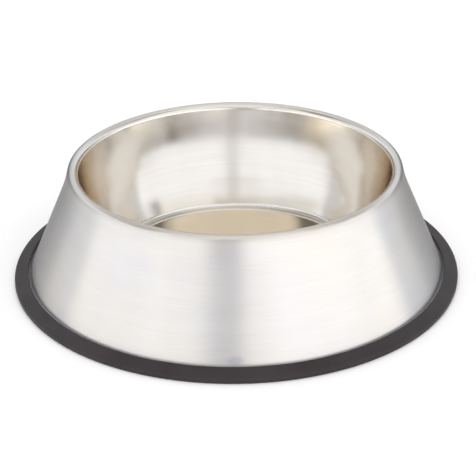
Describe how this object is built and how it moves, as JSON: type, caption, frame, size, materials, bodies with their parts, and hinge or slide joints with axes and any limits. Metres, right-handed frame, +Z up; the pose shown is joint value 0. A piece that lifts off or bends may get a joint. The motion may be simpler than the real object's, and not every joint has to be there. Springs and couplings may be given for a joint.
{
  "type": "non-slip pet bowl",
  "caption": "Round stainless steel pet bowl with a flared, hollow skirt that stands in a black non-slip rubber ring.",
  "frame": {"origin": "middle of the base, on the surface that the bowl stands on", "axes": "+Z up along the bowl's axis; +X and +Y are any two square directions, because the bowl is round"},
  "size_m": [0.28, 0.28, 0.0725],
  "materials": {
    "stainless": "satin brushed round the outside of the skirt, polished at the rim and inside the bowl",
    "rubber": "moulded, matt with a faint sheen"
  },
  "bodies": {
    "root": {"steel_bowl": "stainless", "rubber_ring": "rubber"}
  },
  "joints": []
}
